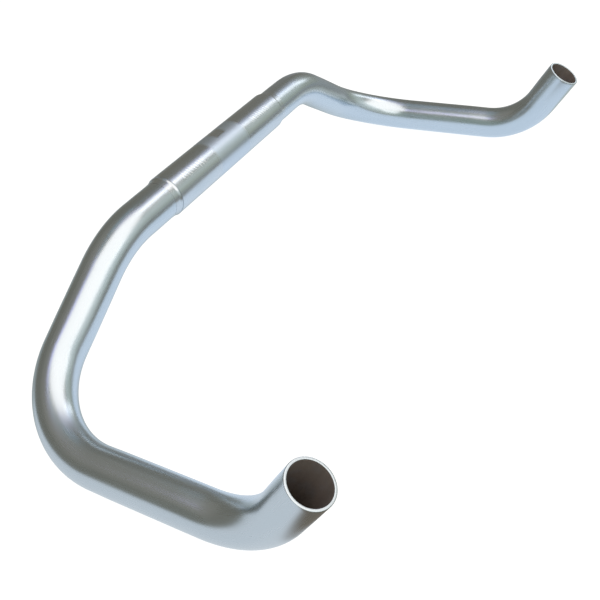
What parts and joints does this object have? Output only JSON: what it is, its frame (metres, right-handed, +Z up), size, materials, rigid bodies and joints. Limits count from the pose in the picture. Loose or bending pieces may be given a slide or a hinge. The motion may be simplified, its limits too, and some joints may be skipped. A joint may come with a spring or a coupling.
{
  "type": "bullhorn handlebar",
  "caption": "Bare bicycle bullhorn handlebar: a bent tube with forward horns and upturned open tips, and a thicker clamp sleeve over its middle.",
  "frame": {"origin": "centre of the stem clamp, on the axis of the bar's straight middle", "axes": "+X along the clamp axis towards the rider's right hand, +Y forwards along the horns, +Z up with the horns level"},
  "size_m": [0.4638, 0.195, 0.0864],
  "materials": {
    "satin_tube": "satin anodised silver, brushed along the tube",
    "satin_sleeve": "satin anodised silver, finer grain, duller where the stem clamps"
  },
  "bodies": {
    "root": {"handlebar_tube": "satin_tube", "clamp_sleeve": "satin_sleeve"}
  },
  "joints": []
}
